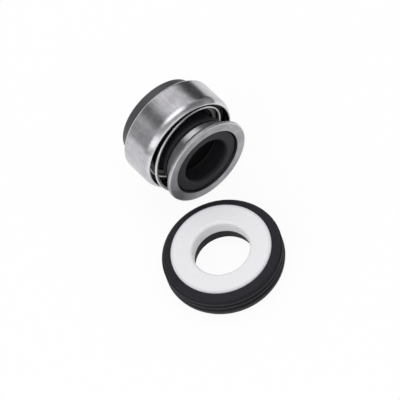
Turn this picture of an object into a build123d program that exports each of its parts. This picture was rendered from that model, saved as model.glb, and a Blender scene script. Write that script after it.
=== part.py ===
"""Component mechanical seal: the rotary head and the stationary seat of one pump shaft seal.

Millimetres. Z is up and the floor is Z = 0. The seat lies flat on its back with its axis on Z.
The head lies on its shell with its axis along Y and its flange towards -Y.
Each half is drawn about its own axis as turned half-sections, then the head is laid down.
"""
from build123d import *
import math
import os

# ---- seat: the ceramic ring in its rubber cup ----
CERAMIC_R = 31.75 / 2
CERAMIC_BORE_R = 9.05             # clears a 15.875 mm shaft
CERAMIC_BOTTOM = 4.2              # the cup's floor thickness
CERAMIC_TOP = 9.3
CERAMIC_MOUTH_ROUND = 1.0         # soft edge where the lapped face meets the bore
CERAMIC_FOOT_ROUND = 0.6          # bottom of the bore
CERAMIC_EDGE = 0.3

CUP_R = 38.1 / 2                  # over the rib crests
CUP_HOLE_R = 9.7
CUP_BASE_R = 18.2
CUP_SKIRT_R = 18.8
CUP_SKIRT_Z = 1.15
CUP_NECK_R = 18.35                # plain wall above the ribs
CUP_NECK_Z = 7.4
CUP_SHOULDER_Z = 7.95
CUP_TOP_Z = 8.7
CUP_LIP_R = 16.1                  # flat lip round the ceramic
RIB_COUNT = 3
RIB_PITCH = 2.08
RIB_FIRST_Z = 2.45
RIB_CREST = 0.55                  # width of a crest
RIB_VALLEY_R = 18.5

# ---- head: distances are measured back from the flange face ----
HEAD_X = 15.13
HEAD_Y = 22.34
SHELL_R = 17.2
SHEET = 0.6                       # stainless sheet, shell and ferrule

MOUTH_D = 8.6                     # rolled-in rim of the shell
SHOULDER_D = 11.55                # where the shoulder reaches full radius
SHOULDER_ROUND = 4.6
RIM_ROUND = 0.27                  # both edges of the sheet at the rim
SHELL_BACK_D = 20.4
SHELL_BACK_ROUND = 0.9
SHELL_HOLE_R = 14.45              # the turned-in back, round the carbon's nose

CARBON_FLANGE_R = 16.4
CARBON_FRONT_D = 14.75
CARBON_NOSE_R = 14.2
CARBON_NOSE_D = 24.65
CARBON_BORE_R = 9.0
CARBON_EDGE = 0.3

WASHER_FRONT_D = 12.45
WASHER_BACK_D = 13.25
WASHER_HOLE_R = 12.2
WASHER_R = 16.3

FLANGE_R = 15.12                  # pressed ferrule: flange, funnel and collar
FLANGE_FLAT_R = 11.85             # inner edge of the flat front ring
LIP_D = 1.05                      # end of the lip turned back over the spring
LIP_SHEET = 0.45
WAIST_D = 3.3
WAIST_R = 11.5
COLLAR_R = 11.8
COLLAR_FRONT_D = 3.63
COLLAR_BACK_D = 5.58

TAIL_FRONT_D = 0.6                # rubber bellows
TAIL_MOUTH_ROUND = 1.1
TAIL_BORE_R = 7.8                 # grips a 15.875 mm shaft
TAIL_BACK_D = 5.85
FOLD_R = 12.0
FOLD_WALL = 1.2
FOLD_TAPER = 0.9                  # how far the fold draws in towards the shell
FOLD_TAPER_D = 2.8                # over this length
FOLD_FRONT_D = 6.05
BELLOWS_FLANGE_R = 16.4
BELLOWS_HOLE_R = 9.7

WIRE_R = 0.5                      # coil spring
COIL_R = 14.12                    # the flat end coils
OPEN_COIL_R = 14.0                # the open turn between them
OPEN_COIL_BOW = 1.0               # how far the open turn bows sideways
BOW_TURN = 161.0                  # direction of the bow about the head's axis, degrees
COIL_FRONT_D = SHEET + WIRE_R + 0.02
COIL_BACK_D = WASHER_FRONT_D - WIRE_R
COIL_RISE = 0.0275                # mm per degree in the open turn
COIL_LEVEL = 11.34                # depth of the open turn's line at zero degrees about the head's axis
END_COIL = 300.0                  # degrees of flat coil at each end
COIL_STEP = 11.0                  # degrees between the points that guide the wire

HEAD = Location((HEAD_X, HEAD_Y, SHELL_R), (-90, 0, 0))


def section(*corners):
    """Closed half-section; a corner is (radius, height) or (radius, height, rounding)."""
    outline = Polyline(*[(corner[0], corner[1]) for corner in corners], close=True)
    face = Plane.XZ * make_face(outline)
    for radius, height, rounding in [corner for corner in corners if len(corner) == 3]:
        vertex = face.vertices().sort_by_distance((radius, 0, height))[0]
        face = fillet(vertex, rounding)
    return face


def turned(face):
    """Solid turned about Z from a half-section."""
    return revolve(face, Axis.Z)


def shoulder_radius(sheet_face, depth):
    """Radius of the shell's shoulder at a depth, for the face that bends at sheet_face."""
    return SHELL_R - SHOULDER_ROUND + math.sqrt(sheet_face ** 2 - (SHOULDER_D - depth) ** 2)


def shoulder_arc(sheet_face):
    """Arc of the shoulder from the rim to full radius, for the face that bends at sheet_face."""
    middle_d = (MOUTH_D + SHOULDER_D) / 2
    rim = (shoulder_radius(sheet_face, MOUTH_D), MOUTH_D)
    middle = (shoulder_radius(sheet_face, middle_d), middle_d)
    full = (SHELL_R - SHOULDER_ROUND + sheet_face, SHOULDER_D)
    return ThreePointArc(rim, middle, full)


def coil_depth(turn):
    """Depth of the wire's centre: flat end coils joined to the rising open turn by soft bends."""
    rising = COIL_LEVEL + COIL_RISE * turn
    softness = 0.35
    low = rising - COIL_FRONT_D
    high = COIL_BACK_D - rising
    if low < high:
        return COIL_FRONT_D + softness * math.log1p(math.exp(low / softness))
    return COIL_BACK_D - softness * math.log1p(math.exp(high / softness))


def coil_point(turn):
    """Centre of the wire at an angle about the head's axis, in degrees."""
    depth = coil_depth(turn)
    open_part = math.sin(math.pi * (depth - COIL_FRONT_D) / (COIL_BACK_D - COIL_FRONT_D)) ** 2
    radius = COIL_R + (OPEN_COIL_R - COIL_R) * open_part
    bow = OPEN_COIL_BOW * open_part
    x = radius * math.cos(math.radians(turn)) + bow * math.cos(math.radians(BOW_TURN))
    y = radius * math.sin(math.radians(turn)) + bow * math.sin(math.radians(BOW_TURN))
    return (x, y, depth)


def funnel_inner_radius(depth):
    """Radius of the ferrule's inner wall between the flange face and the waist."""
    return FLANGE_FLAT_R + (WAIST_R - SHEET - FLANGE_FLAT_R) * depth / WAIST_D


def seat_cup():
    ribs = []
    for index in range(RIB_COUNT):
        crest = RIB_FIRST_Z + index * RIB_PITCH
        ribs.append((CUP_R, crest - RIB_CREST / 2, 0.15))
        ribs.append((CUP_R, crest + RIB_CREST / 2, 0.15))
        if index < RIB_COUNT - 1:
            ribs.append((RIB_VALLEY_R, crest + RIB_PITCH / 2, 0.2))
    return turned(section(
        (CUP_HOLE_R, 0, 0.2),
        (CUP_BASE_R, 0),
        (CUP_SKIRT_R, CUP_SKIRT_Z, 0.3),
        *ribs,
        (CUP_NECK_R, CUP_NECK_Z, 0.25),
        (CUP_NECK_R, CUP_SHOULDER_Z, 0.4),
        (CUP_LIP_R, CUP_TOP_Z),
        (CERAMIC_R, CUP_TOP_Z),
        (CERAMIC_R, CERAMIC_BOTTOM),
        (CUP_HOLE_R, CERAMIC_BOTTOM),
    ))


def ceramic_seat_ring():
    return turned(section(
        (CERAMIC_BORE_R, CERAMIC_BOTTOM, CERAMIC_FOOT_ROUND),
        (CERAMIC_R, CERAMIC_BOTTOM),
        (CERAMIC_R, CERAMIC_TOP, CERAMIC_EDGE),
        (CERAMIC_BORE_R, CERAMIC_TOP, CERAMIC_MOUTH_ROUND),
    ))


def carbon_face_ring():
    step_d = SHELL_BACK_D - SHEET
    return turned(section(
        (CARBON_BORE_R, CARBON_FRONT_D, CARBON_EDGE),
        (CARBON_FLANGE_R, CARBON_FRONT_D),
        (CARBON_FLANGE_R, step_d, SHELL_BACK_ROUND - SHEET),
        (CARBON_NOSE_R, step_d),
        (CARBON_NOSE_R, CARBON_NOSE_D, CARBON_EDGE),
        (CARBON_BORE_R, CARBON_NOSE_D, CARBON_EDGE),
    ))


def retainer_shell():
    inner_r = SHELL_R - SHEET
    outer_arc = shoulder_arc(SHOULDER_ROUND)
    inner_arc = shoulder_arc(SHOULDER_ROUND - SHEET)
    wall = Polyline(
        outer_arc @ 1,
        (SHELL_R, SHELL_BACK_D),
        (SHELL_HOLE_R, SHELL_BACK_D),
        (SHELL_HOLE_R, SHELL_BACK_D - SHEET),
        (inner_r, SHELL_BACK_D - SHEET),
        inner_arc @ 1,
    )
    rim = Line(inner_arc @ 0, outer_arc @ 0)
    face = Plane.XZ * make_face(outer_arc + wall + inner_arc + rim)
    roundings = (
        (SHELL_R, SHELL_BACK_D, SHELL_BACK_ROUND),
        (inner_r, SHELL_BACK_D - SHEET, SHELL_BACK_ROUND - SHEET),
        (shoulder_radius(SHOULDER_ROUND, MOUTH_D), MOUTH_D, RIM_ROUND),
        (shoulder_radius(SHOULDER_ROUND - SHEET, MOUTH_D), MOUTH_D, RIM_ROUND),
    )
    for radius, depth, rounding in roundings:
        vertex = face.vertices().sort_by_distance((radius, 0, depth))[0]
        face = fillet(vertex, rounding)
    return turned(face)


def rubber_bellows():
    tail_r = COLLAR_R - SHEET
    front_r = funnel_inner_radius(TAIL_FRONT_D)
    fold_inner_r = FOLD_R - FOLD_WALL
    taper_d = FOLD_FRONT_D + FOLD_TAPER_D
    return turned(section(
        (TAIL_BORE_R, TAIL_FRONT_D, TAIL_MOUTH_ROUND),
        (front_r, TAIL_FRONT_D),
        (WAIST_R - SHEET, WAIST_D),
        (tail_r, COLLAR_FRONT_D),
        (tail_r, FOLD_FRONT_D),
        (FOLD_R, FOLD_FRONT_D, 0.55),
        (FOLD_R - FOLD_TAPER, taper_d),
        (FOLD_R - FOLD_TAPER, WASHER_BACK_D),
        (BELLOWS_FLANGE_R, WASHER_BACK_D),
        (BELLOWS_FLANGE_R, CARBON_FRONT_D),
        (BELLOWS_HOLE_R, CARBON_FRONT_D),
        (BELLOWS_HOLE_R, WASHER_BACK_D),
        (fold_inner_r - FOLD_TAPER, taper_d + FOLD_WALL),
        (fold_inner_r, FOLD_FRONT_D + FOLD_WALL + 0.6, 0.5),
        (TAIL_BORE_R + 0.9, FOLD_FRONT_D + FOLD_WALL),
        (TAIL_BORE_R, TAIL_BACK_D),
    ))


def spring_seat_washer():
    return turned(section(
        (WASHER_HOLE_R, WASHER_FRONT_D),
        (WASHER_R, WASHER_FRONT_D),
        (WASHER_R, WASHER_BACK_D),
        (WASHER_HOLE_R, WASHER_BACK_D),
    ))


def coil_spring():
    start = (COIL_FRONT_D - COIL_LEVEL) / COIL_RISE - END_COIL
    finish = (COIL_BACK_D - COIL_LEVEL) / COIL_RISE + END_COIL
    count = round((finish - start) / COIL_STEP)
    guides = [coil_point(start + (finish - start) * index / count) for index in range(count + 1)]
    path = Spline(*guides)
    wire_end = Plane(origin=path @ 0, z_dir=path % 0) * Circle(WIRE_R)
    return sweep(wire_end, path=path)


def tail_ferrule():
    return turned(section(
        (FLANGE_FLAT_R, 0, 0.35),
        (FLANGE_R, 0, 0.5),
        (FLANGE_R, LIP_D, 0.15),
        (FLANGE_R - LIP_SHEET, LIP_D, 0.15),
        (FLANGE_R - LIP_SHEET, SHEET),
        (FLANGE_FLAT_R + 0.42, SHEET, 0.5),
        (WAIST_R, WAIST_D, 0.15),
        (COLLAR_R, COLLAR_FRONT_D, 0.2),
        (COLLAR_R, COLLAR_BACK_D, 0.25),
        (COLLAR_R - SHEET, COLLAR_BACK_D, 0.2),
        (COLLAR_R - SHEET, COLLAR_FRONT_D),
        (WAIST_R - SHEET, WAIST_D),
    ))


seat_pieces = {
    "seat_cup": seat_cup(),
    "ceramic_seat_ring": ceramic_seat_ring(),
}

head_pieces = {
    "carbon_face_ring": carbon_face_ring(),
    "retainer_shell": retainer_shell(),
    "rubber_bellows": rubber_bellows(),
    "spring_seat_washer": spring_seat_washer(),
    "coil_spring": coil_spring(),
    "tail_ferrule": tail_ferrule(),
}

os.makedirs("parts", exist_ok=True)
for name, solid in seat_pieces.items():
    export_step(solid, f"parts/{name}.step")
for name, solid in head_pieces.items():
    export_step(HEAD * solid, f"parts/{name}.step")
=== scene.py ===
"""Studio scene of a component mechanical seal: the rotary head beside its stationary seat."""

import logging
import math
from dataclasses import dataclass
from enum import Enum

import bpy
from mathutils import Matrix, Vector


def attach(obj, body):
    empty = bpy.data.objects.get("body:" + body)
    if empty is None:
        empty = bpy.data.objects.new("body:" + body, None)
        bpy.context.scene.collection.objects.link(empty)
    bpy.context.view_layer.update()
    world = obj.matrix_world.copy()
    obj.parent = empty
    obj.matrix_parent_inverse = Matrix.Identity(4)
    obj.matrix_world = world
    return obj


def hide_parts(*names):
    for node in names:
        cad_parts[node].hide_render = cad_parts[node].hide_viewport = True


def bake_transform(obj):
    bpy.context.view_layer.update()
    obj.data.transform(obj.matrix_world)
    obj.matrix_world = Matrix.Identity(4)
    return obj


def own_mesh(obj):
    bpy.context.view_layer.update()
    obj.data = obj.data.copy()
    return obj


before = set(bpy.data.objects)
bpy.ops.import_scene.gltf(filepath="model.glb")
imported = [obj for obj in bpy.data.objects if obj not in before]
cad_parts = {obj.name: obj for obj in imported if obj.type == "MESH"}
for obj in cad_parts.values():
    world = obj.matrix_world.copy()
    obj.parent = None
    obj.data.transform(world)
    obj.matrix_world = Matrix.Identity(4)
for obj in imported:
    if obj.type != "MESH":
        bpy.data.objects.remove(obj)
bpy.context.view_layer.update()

LOG = logging.getLogger("seal")
MM = 0.001
MICRON = 1e-6
HEAD_AXIS = Vector((15.13, 22.34, 17.2)) * MM
FIXED_BODY = "seal_set"

Colour = tuple[float, float, float]
Span = tuple[float, float]
Point = tuple[float, float]
Faces = list[tuple[int, ...]]
Output = bpy.types.NodeSocket
Outputs = bpy.types.bpy_prop_collection
Material = bpy.types.Material
Piece = bpy.types.Object

FALLING: Span = (1.0, 0.0)
WHITE = (1, 1, 1, 1)


class Socket(Enum):
    """Kinds of socket that a shader node group has here."""

    VALUE = "NodeSocketFloat"
    VECTOR = "NodeSocketVector"


class TurnedAbout(Enum):
    """The axis that a turned piece is turned about: a point on it and its direction."""

    SEAT = ((0.0, 0.0, 0.0), (0.0, 0.0, 1.0))
    HEAD = (tuple(HEAD_AXIS), (0.0, 1.0, 0.0))


def socket_names(values: dict[str, object]) -> dict[str, object]:
    """Turns keywords into socket names, with spaces for underscores. Returns the renamed values."""
    return {label.replace("_", " "): value for label, value in values.items()}


class Graph:
    """A node tree with short calls that add and join nodes."""

    def __init__(self, tree: bpy.types.NodeTree) -> None:
        """Empties the tree and keeps it."""
        self.tree = tree
        tree.nodes.clear()

    def add(self, kind: str, inputs: dict | None = None, **settings: object) -> bpy.types.Node:
        """Adds one node.

        Args:
            kind: the node's Blender type.
            inputs: socket name or index to a number, colour, vector or output socket.
            settings: the node's own attributes.

        Returns:
            The new node.
        """
        node = self.tree.nodes.new(kind)
        for name, value in settings.items():
            setattr(node, name, value)
        for name, value in (inputs or {}).items():
            if isinstance(value, Output):
                self.tree.links.new(value, node.inputs[name])
            else:
                node.inputs[name].default_value = value
        return node

    def math(self, operation: str, *values: object) -> Output:
        """Adds a Math node on the values and returns its result."""
        return self.add("ShaderNodeMath", dict(enumerate(values)), operation=operation).outputs[0]

    def vector(self, operation: str, *values: object) -> Output:
        """Adds a Vector Math node on the values and returns its vector."""
        node = self.add("ShaderNodeVectorMath", dict(enumerate(values)), operation=operation)
        return node.outputs["Vector"]

    def measure(self, operation: str, *values: object) -> Output:
        """Adds a Vector Math node on the values and returns its number."""
        node = self.add("ShaderNodeVectorMath", dict(enumerate(values)), operation=operation)
        return node.outputs["Value"]

    def scale(self, vector: Output, factor: object) -> Output:
        """Adds a Vector Math node that makes the vector longer and returns its vector."""
        node = self.add("ShaderNodeVectorMath", {0: vector, "Scale": factor}, operation="SCALE")
        return node.outputs["Vector"]

    def between(self, low: Output, high: Output, share: float) -> Output:
        """Adds Math nodes that mix the share of high into low and returns their result."""
        return self.math("ADD", self.math("MULTIPLY", low, 1 - share), self.math("MULTIPLY", high, share))

    def remap(self, value: Output, span: tuple, onto: Span = (0.0, 1.0)) -> Output:
        """Adds a clamped Map Range node from the span onto another and returns its result."""
        return self.add("ShaderNodeMapRange", dict(enumerate((value, *span, *onto)))).outputs[0]

    def fade(self, value: Output, middle: float, softness: float) -> Output:
        """Adds a Map Range node that falls softly from 1 to 0 about the middle and returns its result."""
        inputs = dict(enumerate((value, middle - softness, middle + softness, *FALLING)))
        return self.add("ShaderNodeMapRange", inputs, interpolation_type="SMOOTHSTEP").outputs[0]

    def blend(self, mask: Output, low: object, high: object) -> Output:
        """Adds a colour Mix node from low to high by the mask and returns its result."""
        ends = [(*end, 1) if isinstance(end, tuple) else end for end in (low, high)]
        return self.add("ShaderNodeMix", {0: mask, 6: ends[0], 7: ends[1]}, data_type="RGBA").outputs[2]

    def noise(self, place: Output, scale: object, detail: float, rough: float, warp: float) -> Output:
        """Adds a Noise Texture node and returns its value."""
        inputs = {"Vector": place, "Scale": scale, "Detail": detail, "Roughness": rough, "Distortion": warp}
        return self.add("ShaderNodeTexNoise", inputs).outputs[0]

    def object_point(self) -> Output:
        """Adds a Texture Coordinate node and returns the point in the object's own frame."""
        return self.add("ShaderNodeTexCoord").outputs["Object"]

    def rays(self) -> tuple[Output, Output]:
        """Adds a Light Path node.

        Returns:
            A mask of the camera's rays, and one of mirrored and transmitted rays.
        """
        path = self.add("ShaderNodeLightPath").outputs
        mirrored = self.math("MAXIMUM", path["Is Glossy Ray"], path["Is Transmission Ray"])
        return path["Is Camera Ray"], mirrored


def empty_graph(holder: bpy.types.ID) -> Graph:
    """Gives a material or a world an empty node tree. Returns its graph."""
    holder.use_nodes = True
    return Graph(holder.node_tree)


class EffectGroup:
    """A shader node group with named inputs and outputs, built once and placed in many materials."""

    def __init__(
        self, name: str, inputs: dict[str, tuple[Socket, object]], outputs: dict[str, Socket]
    ) -> None:
        """Makes the empty group and its sockets.

        Args:
            name: the group's name.
            inputs: socket name to its kind and first value.
            outputs: socket name to its kind.
        """
        self.tree = bpy.data.node_groups.new(name, "ShaderNodeTree")
        for label, (kind, first) in inputs.items():
            socket = self.tree.interface.new_socket(label, in_out="INPUT", socket_type=kind.value)
            socket.default_value = first
        for label, kind in outputs.items():
            self.tree.interface.new_socket(label, in_out="OUTPUT", socket_type=kind.value)
        self.graph = Graph(self.tree)
        self.source = self.graph.add("NodeGroupInput")
        self.sink = self.graph.add("NodeGroupOutput")

    def put_out(self, **values: Output) -> None:
        """Joins the named values to the group's outputs."""
        for label, value in values.items():
            self.tree.links.new(value, self.sink.inputs[label])

    def place(self, graph: Graph, **values: object) -> Outputs:
        """Places the group in a material's graph with its own values. Returns the outputs."""
        return graph.add("ShaderNodeGroup", socket_names(values), node_tree=self.tree).outputs


class Effects:
    """The effects that the seal's finishes share.

    Attributes:
        FACE_PITCH: how close lines are on a face, as a share of that on a wall.
        STREAKS_ALONG: how fast streaks change along the axis, per metre.
        STREAKS_AROUND: how fast they change round it, per radian.
        SKIN_PITCH: how close the skin's grain is, as a share of the pores.
        tool_lines: lines and streaks of a turned piece, and where a place on it lies about its axis.
        mottle: slow cloudy change of finish.
        pores: fine pitted skin.
    """

    FACE_PITCH = 0.83
    STREAKS_ALONG = 240.0
    STREAKS_AROUND = 26.0
    SKIN_PITCH = 0.6

    def __init__(self) -> None:
        """Builds every group."""
        self.tool_lines = self._tool_lines()
        self.mottle = self._mottle()
        self.pores = self._pores()

    def turned(self, graph: Graph, axis: TurnedAbout, **values: object) -> Outputs:
        """Places the tool lines about one of the axes. Returns their outputs."""
        point, direction = axis.value
        return self.tool_lines.place(graph, Axis_Point=point, Axis=direction, **values)

    def _tool_lines(self) -> EffectGroup:
        """Lines round a turned piece, streaks along it, and how a place lies about its axis.

        Returns:
            The group.
        """
        group = EffectGroup(
            "tool_lines",
            {
                "Axis Point": (Socket.VECTOR, (0, 0, 0)),
                "Axis": (Socket.VECTOR, (0, 0, 1)),
                "Lines Per Metre": (Socket.VALUE, 5000.0),
                "Breaks": (Socket.VALUE, 2.0),
            },
            dict.fromkeys(("Lines", "Streaks", "Facing", "Along", "Radius"), Socket.VALUE)
            | {"Outward": Socket.VECTOR},
        )
        graph, given = group.graph, group.source.outputs
        local = graph.vector("SUBTRACT", graph.object_point(), given["Axis Point"])
        along = graph.measure("DOT_PRODUCT", local, given["Axis"])
        radial = graph.vector("SUBTRACT", local, graph.scale(given["Axis"], along))
        radius = graph.measure("LENGTH", radial)
        outward = graph.vector("NORMALIZE", radial)
        travel = graph.math("ADD", along, graph.math("MULTIPLY", radius, self.FACE_PITCH))
        across = graph.scale(given["Axis"], graph.math("MULTIPLY", travel, given["Lines Per Metre"]))
        around = graph.scale(outward, given["Breaks"])
        lined = graph.vector("ADD", across, around)
        down = graph.scale(given["Axis"], graph.math("MULTIPLY", along, self.STREAKS_ALONG))
        streaked = graph.vector("ADD", down, graph.scale(outward, self.STREAKS_AROUND))
        normal = graph.add("ShaderNodeNewGeometry").outputs["Normal"]
        group.put_out(
            Lines=graph.noise(lined, scale=1.0, detail=4.0, rough=0.62, warp=0.0),
            Streaks=graph.noise(streaked, scale=1.0, detail=4.0, rough=0.7, warp=0.5),
            Facing=graph.measure("DOT_PRODUCT", normal, outward),
            Along=along,
            Radius=radius,
            Outward=outward,
        )
        return group

    @staticmethod
    def _mottle() -> EffectGroup:
        """Slow cloudy change of finish, as handling and oil leave.

        Returns:
            The group.
        """
        group = EffectGroup(
            "mottle",
            {"Spots Per Metre": (Socket.VALUE, 150.0), "Contrast": (Socket.VALUE, 1.0)},
            {"Mask": Socket.VALUE},
        )
        graph, given = group.graph, group.source.outputs
        noise = graph.noise(graph.object_point(), given["Spots Per Metre"], detail=5.0, rough=0.55, warp=0.4)
        middle = 0.5
        scaled = graph.math("MULTIPLY", graph.math("SUBTRACT", noise, middle), given["Contrast"])
        mask = graph.add("ShaderNodeClamp", {0: graph.math("ADD", scaled, middle)})
        group.put_out(Mask=mask.outputs[0])
        return group

    def _pores(self) -> EffectGroup:
        """Fine pitted skin of moulded, sintered or pressed stock.

        Returns:
            The group.
        """
        group = EffectGroup(
            "pores",
            {"Pores Per Metre": (Socket.VALUE, 4000.0), "Share": (Socket.VALUE, 0.3)},
            {"Pits": Socket.VALUE, "Skin": Socket.VALUE},
        )
        graph, given = group.graph, group.source.outputs
        place, close = graph.object_point(), given["Pores Per Metre"]
        cells = graph.add("ShaderNodeTexVoronoi", {"Vector": place, "Scale": close})
        fine = graph.math("MULTIPLY", close, self.SKIN_PITCH)
        group.put_out(
            Pits=graph.remap(cells.outputs["Distance"], (0.0, given["Share"]), FALLING),
            Skin=graph.noise(place, fine, detail=3.0, rough=0.5, warp=0.0),
        )
        return group


@dataclass(frozen=True)
class Finish:
    """What every finish of the seal has.

    Attributes:
        ROUGH_MASK: the mask's values that give the lowest and the highest roughness.
        name: the material's name.
        colour: the plain colour.
        shade: the colour of its darker or dirtier places.
        roughness: lowest and highest roughness over the surface.
        bump: height of its fine relief, in metres.
    """

    ROUGH_MASK = (0.25, 0.75)

    name: str
    colour: Colour
    shade: Colour
    roughness: Span
    bump: float

    def material(self, effects: Effects) -> Material:
        """Builds the finish.

        Args:
            effects: the shared effects.

        Returns:
            The material.
        """
        material = bpy.data.materials.new(self.name)
        self.surface(empty_graph(material), effects)
        return material

    def surface(self, graph: Graph, effects: Effects) -> None:
        """Fills the graph, which each kind of finish does in its own way."""
        raise NotImplementedError

    def close(self, graph: Graph, colour: Output, rough_mask: Output, height: Output, **plain: float) -> None:
        """Joins the colour and the masks to one Principled shader and the output.

        Args:
            graph: the material's graph.
            colour: the surface's colour.
            rough_mask: 0 to 1 over the roughness range.
            height: relief from 0 to 1.
            plain: constants for the shader's own sockets, with spaces as underscores.
        """
        bump = graph.add("ShaderNodeBump", {"Height": height, "Distance": self.bump, "Strength": 1.0})
        rough = graph.remap(rough_mask, self.ROUGH_MASK, self.roughness)
        changing = {"Base Color": colour, "Roughness": rough, "Normal": bump.outputs[0]}
        shader = graph.add("ShaderNodeBsdfPrincipled", {**changing, **socket_names(plain)})
        graph.add("ShaderNodeOutputMaterial", {0: shader.outputs[0]})


@dataclass(frozen=True)
class TurnedSteel(Finish):
    """Drawn or pressed stainless sheet with fine lines round its axis.

    How far a place faces outward runs from -1, towards the axis, to 1, straight out from it. Of a pair
    of such values, an effect begins at the first and is full at the second.

    Attributes:
        inner: the dark colour of the side that faces the axis, painted as the shade inside the head.
        lit_colour: the colour of its painted highlights, on its bent edges and on the top of its collar.
        lines_per_metre: how close the lines are.
        waves: height of its slow unevenness, as a multiple of the bump.
        cloudy: share of the clouds in its unevenness of colour.
        uneven: where that unevenness is darkest and lightest.
        wall: how far a place faces outward where lines give way to streaks.
        hollow: the same for the painted shade of the side that faces the axis.
        bend: the same for a bent edge beside its face.
        bend_end: the same for a bent edge beside its wall.
        bend_shine: how much of the painted highlight colour a bent edge takes.
        skyward: how far up a bent edge looks where it is dimmest and brightest.
        sky_share: how much of its brightness it keeps at both.
        shaded_behind: depth along the axis behind which it is painted in shade, m; past the piece if it has
            none.
        shade_fade: how far that painted shade takes to darken fully, m.
        shade_cover: how much of the colour that painted shade hides.
        collar: how far into that shade the painted highlight on the collar's top begins and is full, m.
        top_highlight: how far from its top that painted highlight reaches, degrees.
        top_highlight_fade: half of how far that place takes to fade, degrees.
        top_highlight_shine: how much of the painted highlight colour that place takes.
    """

    inner: Colour = (0.05, 0.05, 0.055)
    lit_colour: Colour = (0.86, 0.85, 0.88)
    lines_per_metre: float = 5200.0
    waves: float = 13.0
    cloudy: float = 0.4
    uneven: Span = (0.36, 0.64)
    wall: Span = (0.5, 0.8)
    hollow: Span = (-0.15, -0.55)
    bend: Span = (0.2, 0.45)
    bend_end: Span = (0.94, 0.76)
    bend_shine: float = 0.9
    skyward: Span = (-0.2, 0.3)
    sky_share: Span = (0.1, 1.0)
    shaded_behind: float = 1.0
    shade_fade: float = 0.4 * MM
    shade_cover: float = 0.6
    collar: Span = (1.0 * MM, 1.4 * MM)
    top_highlight: float = 12.0
    top_highlight_fade: float = 8.0
    top_highlight_shine: float = 0.8

    def surface(self, graph: Graph, effects: Effects) -> None:
        """Fills the graph.

        Args:
            graph: the material's graph.
            effects: the shared effects.
        """
        lines = effects.turned(graph, TurnedAbout.HEAD, Lines_Per_Metre=self.lines_per_metre, Breaks=2.4)
        cloud = effects.mottle.place(graph, Spots_Per_Metre=330.0, Contrast=2.0)["Mask"]
        waves = effects.mottle.place(graph, Spots_Per_Metre=210.0, Contrast=1.0)["Mask"]
        change = graph.math("SUBTRACT", lines["Streaks"], lines["Lines"])
        on_wall = graph.math("MULTIPLY", change, graph.remap(lines["Facing"], self.wall))
        mixed = graph.between(graph.math("ADD", lines["Lines"], on_wall), cloud, self.cloudy)
        upward = graph.measure("DOT_PRODUCT", lines["Outward"], (0, 0, 1))
        unshaded = self.painted_collar_highlight(graph, lines["Along"], upward)
        # Painted shade deep in the head, behind the given depth, lifted where the collar's top is painted
        # lit.
        shade_ramp = (self.shaded_behind, self.shaded_behind + self.shade_fade)
        deep = graph.remap(lines["Along"], shade_ramp, (0.0, self.shade_cover))
        shaded_behind = graph.math("MULTIPLY", deep, graph.math("SUBTRACT", 1.0, unshaded))
        # Painted shade: the dark inner colour on the side facing the axis, and the painted shade deep in the
        # head.
        painted_shade_mask = graph.math("MAXIMUM", graph.remap(lines["Facing"], self.hollow), shaded_behind)
        # Painted highlight on the bent edges and on the top of the collar.
        bright = graph.math("MAXIMUM", self.painted_edge_highlight(graph, lines["Facing"], upward), unshaded)
        plain = graph.blend(graph.remap(mixed, self.uneven), self.shade, self.colour)
        colour = graph.blend(painted_shade_mask, graph.blend(bright, plain, self.lit_colour), self.inner)
        rough = graph.between(lines["Lines"], mixed, share=0.5)
        height = graph.math("ADD", lines["Lines"], graph.math("MULTIPLY", waves, self.waves))
        self.close(graph, colour, rough, height, Metallic=1.0)

    def painted_edge_highlight(self, graph: Graph, facing: Output, upward: Output) -> Output:
        """Masks the painted highlight on the bent edges between a face and a wall, mostly where they look up.

        Args:
            graph: the material's graph.
            facing: how far a place faces outward.
            upward: how far up the place lies about the axis.

        Returns:
            The mask.
        """
        off_face = graph.remap(facing, self.bend, (0.0, self.bend_shine))
        edge = graph.math("MULTIPLY", off_face, graph.remap(facing, self.bend_end))
        return graph.math("MULTIPLY", edge, graph.remap(upward, self.skyward, self.sky_share))

    def painted_collar_highlight(self, graph: Graph, along: Output, upward: Output) -> Output:
        """Masks the painted highlight on the top of the collar, where the painted shade is lifted.

        Args:
            graph: the material's graph.
            along: depth along the axis, m.
            upward: how far up the place lies about the axis.

        Returns:
            The mask.
        """
        # Painted highlight on the collar's top, a little behind where the painted shade begins.
        begins, full = (self.shaded_behind + behind for behind in self.collar)
        near = math.cos(math.radians(self.top_highlight - self.top_highlight_fade))
        far = math.cos(math.radians(self.top_highlight + self.top_highlight_fade))
        top_highlight = graph.remap(upward, (far, near), (0.0, self.top_highlight_shine))
        return graph.math("MULTIPLY", graph.remap(along, (begins, full)), top_highlight)


@dataclass(frozen=True)
class DrawnWire(Finish):
    """Bright hard-drawn spring wire."""

    def surface(self, graph: Graph, effects: Effects) -> None:
        """Fills the graph.

        Args:
            graph: the material's graph.
            effects: the shared effects.
        """
        cloud = effects.mottle.place(graph, Spots_Per_Metre=700.0, Contrast=1.4)["Mask"]
        skin = effects.pores.place(graph, Pores_Per_Metre=9000.0)["Skin"]
        self.close(graph, graph.blend(cloud, self.shade, self.colour), skin, skin, Metallic=1.0)


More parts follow.
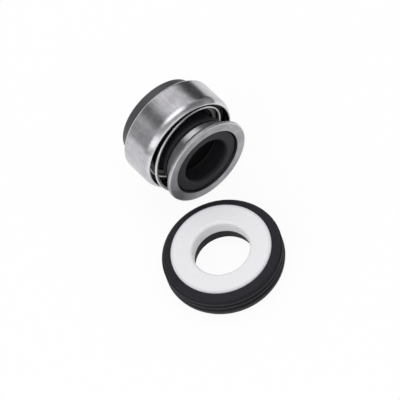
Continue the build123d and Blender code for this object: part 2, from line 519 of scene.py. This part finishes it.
@dataclass(frozen=True)
class MouldedRubber(Finish):
    """Black nitrile rubber with a satin mould skin and a faint grey bloom.

    Attributes:
        pitted: depth of its pits, as a share of its relief.
    """

    pitted: float = 0.3

    def surface(self, graph: Graph, effects: Effects) -> None:
        """Fills the graph.

        Args:
            graph: the material's graph.
            effects: the shared effects.
        """
        cloud = effects.mottle.place(graph, Spots_Per_Metre=240.0, Contrast=1.8)["Mask"]
        pores = effects.pores.place(graph, Pores_Per_Metre=3600.0, Share=0.25)
        height = graph.math("SUBTRACT", pores["Skin"], graph.math("MULTIPLY", pores["Pits"], self.pitted))
        # Each kind of rubber paints its own shade here.
        colour = self.paint_shade(graph, effects, graph.blend(cloud, self.shade, self.colour))
        self.close(graph, colour, pores["Skin"], height, Specular_IOR_Level=0.15)

    def paint_shade(self, graph: Graph, effects: Effects, colour: Output) -> Output:
        """Paints no shade and leaves the colour as it is. Returns it."""
        return colour


@dataclass(frozen=True)
class RibbedRubber(MouldedRubber):
    """Moulded rubber with painted shade in the grooves between its ribs, lighter on the crests.

    Attributes:
        crest: radius over the ribs, m.
        valley: radius in the grooves, m.
        top: height of the topmost rib, m.
        top_fade: how far below it the painted shade of the ribs is full, m.
        side: how far a place faces outward where that painted shade begins and is full.
        groove: the colour of that painted shade in the grooves.
        lit_colour: the colour of the crests, the lit end of that painted shade.
    """

    crest: float = 18.9 * MM
    valley: float = 18.68 * MM
    top: float = 7.4 * MM
    top_fade: float = 0.4 * MM
    side: Span = (0.1, 0.4)
    groove: Colour = (0.004, 0.004, 0.005)
    lit_colour: Colour = (0.023, 0.0225, 0.028)

    def paint_shade(self, graph: Graph, effects: Effects, colour: Output) -> Output:
        """Paints shade into the grooves, lighter on the crests.

        Args:
            graph: the material's graph.
            effects: the shared effects.
            colour: the rubber's colour.

        Returns:
            The new colour.
        """
        place = effects.turned(graph, TurnedAbout.SEAT)
        below = graph.remap(place["Along"], (self.top, self.top - self.top_fade))
        ribbed = graph.math("MULTIPLY", below, graph.remap(place["Facing"], self.side))
        # Painted shade by radius: darkest in the grooves, lightest on the crests.
        rise = graph.remap(place["Radius"], (self.valley, self.crest))
        return graph.blend(ribbed, colour, graph.blend(rise, self.groove, self.lit_colour))


@dataclass(frozen=True)
class DeepRubber(MouldedRubber):
    """Moulded rubber with painted shade in its bore and behind its front, deep in the head.

    Attributes:
        front: depth behind which the painted shade begins, m.
        front_fade: how far behind that it is darkest, m.
        hollow: how far a place faces outward where the painted shade of the bore begins and is full.
        dusk: the colour of that painted shade where it is darkest.
    """

    front: float = 5.8 * MM
    front_fade: float = 1.2 * MM
    hollow: Span = (-0.2, -0.8)
    dusk: Colour = (0.012, 0.0118, 0.0145)

    def paint_shade(self, graph: Graph, effects: Effects, colour: Output) -> Output:
        """Paints shade over the bore and the fold.

        Args:
            graph: the material's graph.
            effects: the shared effects.
            colour: the rubber's colour.

        Returns:
            The new colour.
        """
        place = effects.turned(graph, TurnedAbout.HEAD)
        # Painted shade behind the front and in the bore.
        behind = graph.remap(place["Along"], (self.front, self.front + self.front_fade))
        bore = graph.remap(place["Facing"], self.hollow)
        return graph.blend(graph.math("MAXIMUM", behind, bore), colour, self.dusk)


@dataclass(frozen=True)
class LappedCeramic(Finish):
    """Dense white alumina, lapped on its face and as fired in its bore.

    Attributes:
        shaded_beyond: radius outside which its rounded outer edge is painted in shade, m.
        rim: its outer radius, where that painted shade is darkest, m.
        edge_shade: the colour of that painted shade there.
    """

    shaded_beyond: float = 14.9 * MM
    rim: float = 15.875 * MM
    edge_shade: Colour = (0.60, 0.595, 0.64)

    def surface(self, graph: Graph, effects: Effects) -> None:
        """Fills the graph.

        Args:
            graph: the material's graph.
            effects: the shared effects.
        """
        radius = effects.turned(graph, TurnedAbout.SEAT)["Radius"]
        cloud = effects.mottle.place(graph, Spots_Per_Metre=90.0, Contrast=1.2)["Mask"]
        skin = effects.pores.place(graph, Pores_Per_Metre=1100.0)["Skin"]
        unshaded = graph.blend(cloud, self.shade, self.colour)
        # Painted shade on the rounded outer edge, darkest at the rim.
        colour = graph.blend(graph.remap(radius, (self.shaded_beyond, self.rim)), unshaded, self.edge_shade)
        self.close(graph, colour, cloud, skin, Specular_IOR_Level=0.45)


@dataclass(frozen=True)
class PressedCarbon(Finish):
    """Resin-bonded carbon graphite, turned and lapped.

    Attributes:
        lined: height of its tool lines, as a share of the depth of its pits.
    """

    lined: float = 0.5

    def surface(self, graph: Graph, effects: Effects) -> None:
        """Fills the graph.

        Args:
            graph: the material's graph.
            effects: the shared effects.
        """
        lines = effects.turned(graph, TurnedAbout.HEAD, Lines_Per_Metre=3800.0, Breaks=1.2)["Lines"]
        pores = effects.pores.place(graph, Pores_Per_Metre=5200.0, Share=0.3)
        height = graph.math("SUBTRACT", graph.math("MULTIPLY", lines, self.lined), pores["Pits"])
        colour = graph.blend(lines, self.shade, self.colour)
        self.close(graph, colour, pores["Skin"], height, Specular_IOR_Level=0.6)


def profile_points(corners: list[tuple[float, float, float]], steps: int = 8) -> list[Point]:
    """Rounds the corners of a closed outline.

    Args:
        corners: (radius, depth, rounding) in millimetres.
        steps: straight runs in each rounded corner.

    Returns:
        The outline's points in order.
    """
    points: list[Point] = []
    for index, (radius, depth, rounding) in enumerate(corners):
        here = Vector((radius, depth))
        before = (Vector(corners[index - 1][:2]) - here).normalized()
        after = (Vector(corners[(index + 1) % len(corners)][:2]) - here).normalized()
        half = before.angle(after) / 2
        reach = rounding / math.tan(half)
        centre = here + (before + after).normalized() * (rounding / math.sin(half))
        start = here + before * reach - centre
        sweep = start.angle_signed(here + after * reach - centre)
        for step in range(steps + 1):
            turn = Matrix.Rotation(-sweep * step / steps, 2)
            points.append(tuple(centre + turn @ start))
    return points


def head_point(radius: float, depth: float, turn: float) -> Vector:
    """Point about the head's axis.

    Args:
        radius: distance from the axis, mm.
        depth: distance back from the flange face, mm.
        turn: angle about the axis, radians.

    Returns:
        The point in the object's frame, in metres.
    """
    return HEAD_AXIS + Vector((radius * math.cos(turn), depth, -radius * math.sin(turn))) * MM


def mesh_piece(name: str, points: list[Vector], faces: Faces, material: Material) -> Piece:
    """Makes a smooth mesh piece.

    Args:
        name: the piece's name.
        points: its vertices, in metres.
        faces: its faces.
        material: its finish.

    Returns:
        The linked object.
    """
    mesh = bpy.data.meshes.new(name)
    mesh.from_pydata(points, [], faces)
    mesh.polygons.foreach_set("use_smooth", [True] * len(faces))
    mesh.update()
    mesh.materials.append(material)
    piece = bpy.data.objects.new(name, mesh)
    bpy.context.scene.collection.objects.link(piece)
    return piece


def tube_faces(rings: int, sides: int, closed: bool) -> Faces:
    """Quads between rings of points.

    Args:
        rings: how many rings there are.
        sides: points in each ring.
        closed: whether the last ring joins the first; otherwise both ends are capped.

    Returns:
        The faces.
    """
    faces: Faces = []
    for ring in range(rings if closed else rings - 1):
        base, over = ring * sides, (ring + 1) % rings * sides
        for side in range(sides):
            beside = (side + 1) % sides
            faces.append((base + side, base + beside, over + beside, over + side))
    if not closed:
        faces.append(tuple(reversed(range(sides))))
        faces.append(tuple(range((rings - 1) * sides, rings * sides)))
    return faces


@dataclass
class BellowsRubber:
    """The head's rubber moulding: thick tail, thin fold and clamped flange.

    All sizes are in millimetres, with depths taken back from the ferrule's flange face.

    Attributes:
        bore: radius of the bore that grips the shaft.
        front: depth of the tail's front face.
        tail: outer radius of that face.
        waist: radius and depth of the waist behind it.
        grip: radius under the ferrule's collar, and where it starts and ends.
        tail_back: depth where the grip on the shaft ends.
        mouth: radius and depth inside the fold, where the bore opens.
        fold: outer radius of the fold.
        fold_start: radius and depth where the fold starts.
        fold_crest: depth of its crest.
        fold_inside: depth of the crest's inside.
        wall: the fold's wall.
        sleeve: outer radius of the sleeve behind the fold, and where it starts.
        sleeve_inside: its inner radius, and where that starts.
        flange: outer radius of the clamped flange.
        flange_bore: its inner radius.
        flange_front: depth of its front face.
        flange_back: depth of its back face.
        bend_end: depth where the rubber stops following the ferrule; not used.
        segments: facets round the axis.
    """

    bore: float = 7.8
    front: float = 0.6
    tail: float = 11.6
    waist: Point = (10.84, 3.3)
    grip: tuple[float, float, float] = (11.14, 3.7, 6.0)
    tail_back: float = 5.85
    mouth: Point = (8.8, 7.3)
    fold: float = 12.0
    fold_start: Point = (11.9, 6.1)
    fold_crest: float = 7.1
    fold_inside: float = 8.0
    wall: float = 1.2
    sleeve: Point = (11.15, 9.4)
    sleeve_inside: Point = (9.95, 10.6)
    flange: float = 16.35
    flange_bore: float = 9.75
    flange_front: float = 13.25
    flange_back: float = 14.75
    bend_end: float = 13.2
    segments: int = 160

    def outline(self) -> list[Point]:
        """Closed half-section in millimetres.

        Returns:
            Its points, with each corner rounded by the radius that stands last in its row.
        """
        grip, grip_start, grip_end = self.grip
        return profile_points(
            [
                (self.bore, self.front, 1.1),
                (self.tail, self.front, 0.35),
                (*self.waist, 0.5),
                (grip, grip_start, 0.3),
                (grip, grip_end, 0.15),
                (*self.fold_start, 0.5),
                (self.fold, self.fold_crest, 0.6),
                (*self.sleeve, 1.5),
                (self.sleeve[0], self.flange_front, 0.2),
                (self.flange, self.flange_front, 0.2),
                (self.flange, self.flange_back, 0.2),
                (self.flange_bore, self.flange_back, 0.3),
                (*self.sleeve_inside, 1.0),
                (self.fold - self.wall, self.fold_inside, 0.5),
                (*self.mouth, 0.6),
                (self.bore, self.tail_back, 0.4),
            ]
        )

    def build(self, material: Material) -> Piece:
        """Builds the piece between the ferrule and the shell.

        Args:
            material: its finish.

        Returns:
            The piece.
        """
        outline = self.outline()
        points = [
            head_point(radius, depth, math.tau * index / self.segments)
            for index in range(self.segments)
            for radius, depth in outline
        ]
        faces = tube_faces(self.segments, len(outline), closed=True)
        piece = mesh_piece("bellows_rubber", points, faces, material)
        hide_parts("rubber_bellows")
        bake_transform(piece)
        return piece


@dataclass
class CoilSpring:
    """Round-wire compression spring with flat end coils.

    Attributes:
        wire: wire radius, mm.
        end_radius: mean radius of the end coils, mm.
        open_radius: mean radius of the open turn, mm.
        bow: sideways bow of the open turn, mm.
        bow_turn: direction of the bow, degrees.
        front: depth of the front coil's centre, mm.
        back: depth of the rear coil's centre, mm.
        rise: depth gained in the open turn, mm per degree.
        level: depth of the open turn's line at zero degrees, mm.
        softness: how gently that line runs into the flat coils, mm.
        end_turn: degrees of flat coil at each end.
        travel: how far the ferrule slides, mm; not used.
        step: degrees of the coil between two rings of points.
        sides: facets round the wire.
    """

    wire: float = 0.5
    end_radius: float = 14.12
    open_radius: float = 14.0
    bow: float = 1.0
    bow_turn: float = 161.0
    front: float = 1.12
    back: float = 11.95
    rise: float = 0.0275
    level: float = 11.34
    softness: float = 0.35
    end_turn: float = 300.0
    travel: float = 5.0
    step: float = 3.0
    sides: int = 20

    def depth(self, turn: float) -> float:
        """Depth of the wire's centre.

        Args:
            turn: angle about the head's axis, degrees.

        Returns:
            The depth in millimetres.
        """
        rising = self.level + self.rise * turn
        past_front, to_back = rising - self.front, self.back - rising
        if past_front < to_back:
            return self.front + self.softness * math.log1p(math.exp(past_front / self.softness))
        return self.back - self.softness * math.log1p(math.exp(to_back / self.softness))

    def centre(self, turn: float) -> Vector:
        """Centre of the wire.

        Args:
            turn: angle about the head's axis, degrees.

        Returns:
            The point in metres.
        """
        depth = self.depth(turn)
        share = math.sin(math.pi * (depth - self.front) / (self.back - self.front)) ** 2
        radius = self.end_radius + (self.open_radius - self.end_radius) * share
        side = head_point(self.bow * share, 0, math.radians(self.bow_turn)) - HEAD_AXIS
        return head_point(radius, depth, math.radians(turn)) + side

    def build(self, material: Material) -> Piece:
        """Builds the piece and attaches it to the fixed body.

        Args:
            material: its finish.

        Returns:
            The piece.
        """
        first = (self.front - self.level) / self.rise - self.end_turn
        last = (self.back - self.level) / self.rise + self.end_turn
        rings = round((last - first) / self.step) + 1
        line = [self.centre(first + (last - first) * index / (rings - 1)) for index in range(rings)]
        points: list[Vector] = []
        for index, centre in enumerate(line):
            ahead = line[min(index + 1, rings - 1)] - line[max(index - 1, 0)]
            across = ahead.cross(Vector((0, 1, 0))).normalized()
            upward = across.cross(ahead).normalized()
            for side in range(self.sides):
                turn = math.tau * side / self.sides
                points.append(centre + (across * math.cos(turn) + upward * math.sin(turn)) * self.wire * MM)
        piece = mesh_piece("spring_wire", points, tube_faces(rings, self.sides, closed=False), material)
        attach(piece, FIXED_BODY)
        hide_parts("coil_spring")
        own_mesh(piece)
        return piece


def dress(node: str, material: Material, crease: float = 25.0) -> Piece:
    """Gives a CAD node its material and smooth shading.

    Args:
        node: the node's name.
        material: its finish.
        crease: the angle in degrees over which an edge stays sharp.

    Returns:
        The node's object.
    """
    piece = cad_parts[node]
    if not piece.material_slots:
        piece.data.materials.append(material)
    for holder in piece.material_slots:
        holder.material = material
    piece.data.polygons.foreach_set("use_smooth", [True] * len(piece.data.polygons))
    piece.data.set_sharp_from_angle(angle=math.radians(crease))
    return piece


@dataclass
class StationarySeat:
    """The ceramic ring in its rubber cup.

    Attributes:
        rubber: finish of the cup.
        ceramic: finish of the ring.
    """

    rubber: RibbedRubber = RibbedRubber(
        "seat_rubber",
        colour=(0.022, 0.0215, 0.027),
        shade=(0.017, 0.0165, 0.021),
        roughness=(0.42, 0.58),
        bump=3.0 * MICRON,
    )
    ceramic: LappedCeramic = LappedCeramic(
        "white_ceramic",
        colour=(0.84, 0.835, 0.87),
        shade=(0.81, 0.81, 0.83),
        roughness=(0.24, 0.34),
        bump=0.1 * MICRON,
    )

    def build(self, effects: Effects) -> list[Piece]:
        """Dresses both pieces and returns them."""
        finishes = {"seat_cup": self.rubber, "ceramic_seat_ring": self.ceramic}
        return [dress(node, finish.material(effects)) for node, finish in finishes.items()]


@dataclass
class RotaryHead:
    """The sprung head: shell, carbon, bellows, spring and ferrule.

    Attributes:
        shell: finish of the retainer shell.
        pressed: finish of the ferrule.
        plain: finish of the washer under the spring, darkened as painted shade inside the shell.
        carbon: finish of the face ring.
        rubber: finish of the bellows.
        wire: finish of the spring.
    """

    shell: TurnedSteel = TurnedSteel(
        "drawn_shell_steel",
        colour=(0.61, 0.60, 0.63),
        shade=(0.48, 0.47, 0.50),
        roughness=(0.14, 0.30),
        bump=1.2 * MICRON,
    )
    pressed: TurnedSteel = TurnedSteel(
        "pressed_ferrule_steel",
        colour=(0.49, 0.49, 0.51),
        shade=(0.35, 0.35, 0.37),
        roughness=(0.40, 0.54),
        bump=1.6 * MICRON,
        # Painted shade on the ferrule behind its flange, inside the spring.
        shaded_behind=2.4 * MM,
    )
    # The washer's dark colours are painted shade inside the shell.
    plain: TurnedSteel = TurnedSteel(
        "shaded_washer_steel",
        colour=(0.20, 0.20, 0.205),
        shade=(0.14, 0.14, 0.145),
        roughness=(0.45, 0.60),
        bump=1.6 * MICRON,
    )
    carbon: PressedCarbon = PressedCarbon(
        "pressed_carbon",
        colour=(0.062, 0.061, 0.067),
        shade=(0.040, 0.039, 0.044),
        roughness=(0.38, 0.55),
        bump=1.5 * MICRON,
    )
    rubber: DeepRubber = DeepRubber(
        "bellows_rubber",
        colour=(0.029, 0.0285, 0.034),
        shade=(0.022, 0.0215, 0.026),
        roughness=(0.42, 0.60),
        bump=3.0 * MICRON,
    )
    wire: DrawnWire = DrawnWire(
        "bright_spring_wire",
        colour=(0.78, 0.77, 0.78),
        shade=(0.64, 0.63, 0.64),
        roughness=(0.28, 0.40),
        bump=0.8 * MICRON,
    )

    def build(self, effects: Effects) -> list[Piece]:
        """Dresses the rigid pieces, and builds the rubber and the spring.

        Args:
            effects: the shared effects.

        Returns:
            All the head's pieces.
        """
        rigid = {
            "retainer_shell": self.shell,
            "tail_ferrule": self.pressed,
            "spring_seat_washer": self.plain,
            "carbon_face_ring": self.carbon,
        }
        pieces = [dress(node, finish.material(effects)) for node, finish in rigid.items()]
        pieces.append(BellowsRubber().build(self.rubber.material(effects)))
        pieces.append(CoilSpring().build(self.wire.material(effects)))
        return pieces


def posed(place: Vector, right: Vector, over: Vector, back: Vector) -> Matrix:
    """Pose at a place, with its own X, Y and Z along the three directions. Returns the matrix."""
    return Matrix.Translation(place) @ Matrix((right, over, back)).transposed().to_4x4()


@dataclass(frozen=True)
class Softbox:
    """A soft rectangular lamp; metal mirrors its panel in the room instead.

    Attributes:
        name: the lamp's name.
        around: its angle about the head's axis from +X towards +Z, degrees.
        forward: its direction's share along +Y.
        wide: its size round that axis, m.
        deep: its size along that axis, m.
        radiance: how bright it looks.
        distance: how far it stands, m.
    """

    name: str
    around: float
    forward: float
    wide: float
    deep: float
    radiance: float
    distance: float = 1.0

    def build(self) -> None:
        """Makes the lamp, turned to the object."""
        flat = math.sqrt(1 - self.forward ** 2)
        turn = math.radians(self.around)
        towards = Vector((flat * math.cos(turn), self.forward, flat * math.sin(turn)))
        side = Vector((-math.sin(turn), 0, math.cos(turn)))
        lamp = bpy.data.lights.new(self.name, "AREA")
        lamp.shape = "RECTANGLE"
        lamp.size, lamp.size_y = self.wide, self.deep
        lamp.energy = self.radiance * math.pi * self.wide * self.deep
        holder = bpy.data.objects.new(self.name, lamp)
        bpy.context.scene.collection.objects.link(holder)
        holder.visible_glossy = False
        holder.matrix_world = posed(towards * self.distance, side, towards.cross(side), towards)


@dataclass(frozen=True)
class RoomPanel:
    """A soft-edged card or flag of the room, as the metal mirrors it.

    Attributes:
        name: what it is.
        around: middle of its angle about the head's axis from +X towards +Z, degrees.
        half_around: half of that angle, degrees.
        forward: middle of its share along +Y.
        half_forward: half of that share.
        grey: how bright it is.
        edge: softness of its edges round the axis, degrees.
        fade: softness of its edges along +Y.
    """

    name: str
    around: float
    half_around: float
    forward: float
    half_forward: float
    grey: float
    edge: float
    fade: float

    def paint(self, graph: Graph, room: Output, turn: Output, along: Output) -> Output:
        """Paints the panel over the room.

        Args:
            graph: the world's graph.
            room: the brightness so far.
            turn: the direction's angle about the head's axis, degrees.
            along: the direction's share along +Y.

        Returns:
            The brightness with the panel.
        """
        off = graph.math("ABSOLUTE", graph.math("SUBTRACT", turn, self.around))
        aside = graph.math("ABSOLUTE", graph.math("SUBTRACT", along, self.forward))
        wide = graph.fade(off, self.half_around, self.edge)
        deep = graph.fade(aside, self.half_forward, self.fade)
        mask = graph.math("MULTIPLY", wide, deep)
        gain = graph.math("MULTIPLY", graph.math("SUBTRACT", self.grey, room), mask)
        return graph.math("ADD", room, gain)


@dataclass
class Studio:
    """The pale sheet on the floor, the room and the lamps.

    Attributes:
        sheet: the sheet's least X, greatest X and half depth in Y, m.
        sheet_colour: its plain grey.
        camera_glow: share of plain white that the camera sees on the sheet.
        gloss_glow: the same as metal mirrors it.
        gloss_front: the same in front, where the sheet is in shade.
        gloss_fade: Y where the shade is full and where it ends, m.
        plain_level: how bright the room lights the object.
        room_grey: the room behind the panels.
        softboxes: the lamps.
        panels: the cards and flags, each painted over those before it.
    """

    sheet: tuple[float, float, float] = (-1.5, 0.135, 1.2)
    sheet_colour: float = 0.93
    camera_glow: float = 0.93
    gloss_glow: float = 0.5
    gloss_front: float = 0.15
    gloss_fade: Span = (-0.06, -0.01)
    plain_level: float = 0.8
    room_grey: float = 0.42
    # name, around, forward, wide, deep, radiance
    softboxes: tuple[Softbox, ...] = (
        Softbox("key_softbox", 80, 0.13, 0.50, 0.40, 2.4),
        Softbox("side_softbox", 150, -0.17, 0.40, 0.60, 1.8),
    )
    # name, around, half_around, forward, half_forward, grey, edge, fade
    panels: tuple[RoomPanel, ...] = (
        RoomPanel("overhead_card", 58, 28, 0.75, 0.50, 0.88, 9, 0.06),
        RoomPanel("overhead_gap", 113, 12, 0.75, 0.42, 0.17, 5, 0.10),
        RoomPanel("left_wall_edge", 136, 5, 0.75, 0.35, 0.58, 3, 0.05),
        RoomPanel("dark_doorway", 1, 22, 0.78, 0.55, 0.05, 5, 0.12),
        RoomPanel("right_flag", 36, 26, -0.15, 0.26, 0.22, 9, 0.08),
        RoomPanel("front_card", 118, 62, -0.69, 0.13, 1.00, 8, 0.05),
        RoomPanel("front_wall", 0, 190, -1.00, 0.13, 0.10, 6, 0.05),
        RoomPanel("below_the_sheet_right", -50, 44, 0.0, 1.3, 0.10, 6, 0.08),
        RoomPanel("below_the_sheet_left", -150, 40, 0.0, 1.3, 0.50, 6, 0.08),
        RoomPanel("key_softbox", 81, 23, 0.12, 0.20, 2.50, 15, 0.16),
        RoomPanel("side_softbox", 150, 14, -0.17, 0.34, 1.65, 9, 0.14),
    )

    def build(self) -> None:
        """Makes the floor, the world and the lamps."""
        self._floor()
        self._world()
        for box in self.softboxes:
            box.build()

    def _floor(self) -> None:
        """Lays the floor, which keeps a soft shadow."""
        left, right, half = self.sheet
        outline = (left, -half), (right, -half), (right, half), (left, half)
        corners = [Vector((x, y, 0)) for x, y in outline]
        material = bpy.data.materials.new("pale_floor")
        graph = empty_graph(material)
        camera, gloss = graph.rays()
        axes = graph.add("ShaderNodeSeparateXYZ", {0: graph.object_point()}).outputs
        shaded = graph.remap(axes["Y"], self.gloss_fade, (self.gloss_front, self.gloss_glow))
        seen = graph.math("MULTIPLY", camera, self.camera_glow)
        share = graph.math("MAXIMUM", seen, graph.math("MULTIPLY", gloss, shaded))
        plain = graph.add("ShaderNodeBsdfDiffuse", {"Color": (*[self.sheet_colour] * 3, 1)})
        glow = graph.add("ShaderNodeEmission", {"Strength": 1.0})
        mixed = graph.add("ShaderNodeMixShader", {0: share, 1: plain.outputs[0], 2: glow.outputs[0]})
        graph.add("ShaderNodeOutputMaterial", {0: mixed.outputs[0]})
        floor = mesh_piece("floor", corners, [(0, 1, 2, 3)], material)

    def _world(self) -> None:
        """Paints the room round the object, and plain white for the camera."""
        world = bpy.data.worlds.new("studio_room")
        bpy.context.scene.world = world
        graph = empty_graph(world)
        way = graph.add("ShaderNodeTexCoord").outputs["Generated"]
        axes = graph.add("ShaderNodeSeparateXYZ", {0: way}).outputs
        turn = graph.math("DEGREES", graph.math("ARCTAN2", axes["Z"], axes["X"]))
        room = graph.add("ShaderNodeValue").outputs[0]
        room.default_value = self.room_grey
        for panel in self.panels:
            room = panel.paint(graph, room, turn, axes["Y"])
        camera, gloss = graph.rays()
        mirrored = graph.add("ShaderNodeBackground", {0: WHITE, 1: room})
        plain = graph.add("ShaderNodeBackground", {0: WHITE, 1: self.plain_level})
        white = graph.add("ShaderNodeBackground", {0: WHITE, 1: 1.0})
        lit = graph.add("ShaderNodeMixShader", {0: gloss, 1: plain.outputs[0], 2: mirrored.outputs[0]})
        mixed = graph.add("ShaderNodeMixShader", {0: camera, 1: lit.outputs[0], 2: white.outputs[0]})
        graph.add("ShaderNodeOutputWorld", {0: mixed.outputs[0]})


@dataclass
class ProductCamera:
    """The long-lens camera, placed by where it sees the frame's origin.

    Attributes:
        elevation: angle down to the floor, degrees.
        roll: lean of the picture, degrees.
        turn: angle about Z from looking along +Y, degrees.
        distance: from the camera's plane to the origin, m.
        pixels_per_mm: scale at the origin.
        origin_px: the origin's place in the picture.
        picture: the picture's width and height, px.
        sensor: the sensor's width, mm.
        clip: nearest and farthest distance that it sees, m.
    """

    elevation: float = 56.76
    roll: float = 20.15
    turn: float = -22.63
    distance: float = 2.0
    pixels_per_mm: float = 3.22
    origin_px: Point = (225.78, 263.01)
    picture: int = 400
    sensor: float = 36.0
    clip: Span = (0.05, 50.0)

    def build(self) -> None:
        """Makes the camera the scene's own."""
        down, lean = math.radians(self.elevation), math.radians(self.roll)
        ahead = Vector((0, math.cos(down), -math.sin(down)))
        level = Vector((1, 0, 0))
        upward = level.cross(ahead)
        right = level * math.cos(lean) - upward * math.sin(lean)
        over = level * math.sin(lean) + upward * math.cos(lean)
        middle = (self.picture - 1) / 2
        per_px = MM / self.pixels_per_mm
        shift = right * (self.origin_px[0] - middle) * per_px - over * (self.origin_px[1] - middle) * per_px
        pose = posed(-(ahead * self.distance + shift), right, over, -ahead)
        data = bpy.data.cameras.new("product_camera")
        data.sensor_width = self.sensor
        data.lens = self.sensor * self.pixels_per_mm / MM * self.distance / self.picture
        data.clip_start, data.clip_end = self.clip
        camera = bpy.data.objects.new("product_camera", data)
        bpy.context.scene.collection.objects.link(camera)
        camera.matrix_world = Matrix.Rotation(math.radians(self.turn), 4, "Z") @ pose
        bpy.context.scene.camera = camera


def main() -> None:
    """Builds the camera, the studio and both halves of the seal, and reports each piece."""
    logging.basicConfig(level=logging.INFO, format="%(name)s: %(message)s")
    bpy.context.scene.view_settings.view_transform = "Standard"
    ProductCamera().build()
    Studio().build()
    effects = Effects()
    for half in (StationarySeat(), RotaryHead()):
        for piece in half.build(effects):
            finish = piece.material_slots[0].material.name
            LOG.info("%s has %d faces, finished in %s", piece.name, len(piece.data.polygons), finish)


if __name__ == "__main__":
    main()
